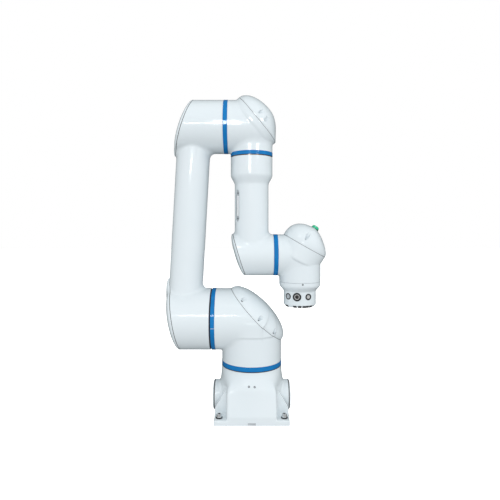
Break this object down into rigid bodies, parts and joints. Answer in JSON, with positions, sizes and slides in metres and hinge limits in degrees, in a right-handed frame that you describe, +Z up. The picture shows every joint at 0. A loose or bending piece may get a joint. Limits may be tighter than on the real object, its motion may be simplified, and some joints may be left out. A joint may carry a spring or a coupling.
{
  "type": "collaborative robot arm",
  "caption": "Six-axis collaborative robot arm: rounded white castings on a square base, blue joint rings, domed covers, a status lamp and a tool flange with push buttons.",
  "frame": {"origin": "on the base turn axis, in the plane of the mounting surface", "axes": "+Z up along the base turn axis, +X in the arm plane towards the wrist, -Y the front of the base"},
  "size_m": [0.5807, 0.2963, 1.1454],
  "materials": {
    "white_enamel": "gloss",
    "blue_ring": "satin",
    "rubber_seal": "matte",
    "bolt_steel": "satin",
    "drive_steel": "satin",
    "cast_aluminium": "satin",
    "copper_winding": "satin",
    "black_plastic": "matte",
    "button_black": "satin",
    "connector_metal": "satin",
    "green_lens": "gloss"
  },
  "bodies": {
    "base": {"base_bolt_1": "bolt_steel", "base_bolt_2": "bolt_steel", "base_bolt_3": "bolt_steel", "base_bolt_4": "bolt_steel", "base_casting": "white_enamel", "base_cover_left": "white_enamel", "base_cover_right": "white_enamel", "base_rear_panel": "black_plastic", "power_inlet": "connector_metal", "signal_connector": "connector_metal", "s_brake_and_encoder": "black_plastic", "s_motor_stator": "copper_winding", "s_gear_ring": "drive_steel"},
    "turret": {"turret_casting": "white_enamel", "turret_cover": "white_enamel", "s_joint_ring": "blue_ring", "l_joint_ring": "blue_ring", "s_output_flange": "cast_aluminium", "l_brake_and_encoder": "black_plastic", "l_motor_stator": "copper_winding", "l_gear_ring": "drive_steel"},
    "lower_arm": {"lower_arm_casting": "white_enamel", "shoulder_end_cap": "white_enamel", "elbow_end_cap": "white_enamel", "l_joint_seal": "rubber_seal", "u_joint_ring": "blue_ring", "l_output_flange": "cast_aluminium", "u_brake_and_encoder": "black_plastic", "u_motor_stator": "copper_winding", "u_gear_ring": "drive_steel"},
    "elbow": {"elbow_casting": "white_enamel", "elbow_cover": "white_enamel", "r_joint_ring": "blue_ring", "u_output_flange": "cast_aluminium", "r_motor_stator": "copper_winding", "r_gear_ring": "drive_steel"},
    "forearm": {"forearm_casting": "white_enamel", "forearm_end_cap": "white_enamel", "b_joint_ring": "blue_ring", "r_output_flange": "cast_aluminium", "b_motor_stator": "copper_winding", "b_gear_ring": "drive_steel"},
    "wrist": {"wrist_casting": "white_enamel", "wrist_cover": "white_enamel", "status_lamp": "green_lens", "b_output_flange": "cast_aluminium", "t_motor_stator": "copper_winding", "t_gear_ring": "drive_steel"},
    "tool": {"tool_housing": "white_enamel", "tool_flange": "cast_aluminium", "tool_connector": "connector_metal", "t_output_flange": "cast_aluminium"},
    "s_rotor": {"s_motor_rotor": "drive_steel"},
    "l_rotor": {"l_motor_rotor": "drive_steel"},
    "u_rotor": {"u_motor_rotor": "drive_steel"},
    "r_rotor": {"r_motor_rotor": "drive_steel"},
    "b_rotor": {"b_motor_rotor": "drive_steel"},
    "t_rotor": {"t_motor_rotor": "drive_steel"},
    "teach_button": {"teach_button": "button_black"},
    "record_button": {"record_button": "button_black"}
  },
  "joints": [
    {"name": "base_turn", "type": "hinge", "parent": "base", "child": "turret", "pos_m": [0, 0, 0.1849], "axis": [0, 0, 1], "range_deg": [-180, 180]},
    {"name": "lower_arm_lean", "type": "hinge", "parent": "turret", "child": "lower_arm", "pos_m": [-0.1478, 0, 0.332], "axis": [1, 0, 0], "range_deg": [-120, 120]},
    {"name": "upper_arm_lift", "type": "hinge", "parent": "lower_arm", "child": "elbow", "pos_m": [-0.0853, 0, 1.032], "axis": [1, 0, 0], "range_deg": [-180, 180]},
    {"name": "forearm_roll", "type": "hinge", "parent": "elbow", "child": "forearm", "pos_m": [0, 0, 0.9243], "axis": [0, 0, 1], "range_deg": [-110, 110]},
    {"name": "wrist_bend", "type": "hinge", "parent": "forearm", "child": "wrist", "pos_m": [0.0943, 0, 0.565], "axis": [1, 0, 0], "range_deg": [-180, 180]},
    {"name": "tool_turn", "type": "hinge", "parent": "wrist", "child": "tool", "pos_m": [0.176, 0, 0.4682], "axis": [0, 0, 1], "range_deg": [-180, 180]},
    {"name": "s_rotor_spin", "type": "hinge", "parent": "base", "child": "s_rotor", "pos_m": [0, 0, 0.1849], "axis": [0, 0, 1], "range_deg": [-18210, 18210]},
    {"name": "l_rotor_spin", "type": "hinge", "parent": "turret", "child": "l_rotor", "pos_m": [-0.1478, 0, 0.332], "axis": [1, 0, 0], "range_deg": [-12150, 12150]},
    {"name": "u_rotor_spin", "type": "hinge", "parent": "lower_arm", "child": "u_rotor", "pos_m": [-0.0853, 0, 1.032], "axis": [1, 0, 0], "range_deg": [-18210, 18210]},
    {"name": "r_rotor_spin", "type": "hinge", "parent": "elbow", "child": "r_rotor", "pos_m": [0, 0, 0.9243], "axis": [0, 0, 1], "range_deg": [-11140, 11140]},
    {"name": "b_rotor_spin", "type": "hinge", "parent": "forearm", "child": "b_rotor", "pos_m": [0.0943, 0, 0.565], "axis": [1, 0, 0], "range_deg": [-18210, 18210]},
    {"name": "t_rotor_spin", "type": "hinge", "parent": "wrist", "child": "t_rotor", "pos_m": [0.176, 0, 0.4682], "axis": [0, 0, 1], "range_deg": [-18210, 18210]},
    {"name": "teach_button_press", "type": "slide", "parent": "tool", "child": "teach_button", "axis": [0.7716, 0.6361, 0], "range_m": [0, 0.0015], "stiffness_N_per_m": 1500, "springref_m": -0.001},
    {"name": "record_button_press", "type": "slide", "parent": "tool", "child": "record_button", "axis": [-0.4067, 0.9135, 0], "range_m": [0, 0.0015], "stiffness_N_per_m": 1500, "springref_m": -0.001}
  ],
  "couplings": [
    {"joint": "s_rotor_spin", "follows": "base_turn", "ratio": -101},
    {"joint": "l_rotor_spin", "follows": "lower_arm_lean", "ratio": -101},
    {"joint": "u_rotor_spin", "follows": "upper_arm_lift", "ratio": -101},
    {"joint": "r_rotor_spin", "follows": "forearm_roll", "ratio": -101},
    {"joint": "b_rotor_spin", "follows": "wrist_bend", "ratio": -101},
    {"joint": "t_rotor_spin", "follows": "tool_turn", "ratio": -101}
  ]
}
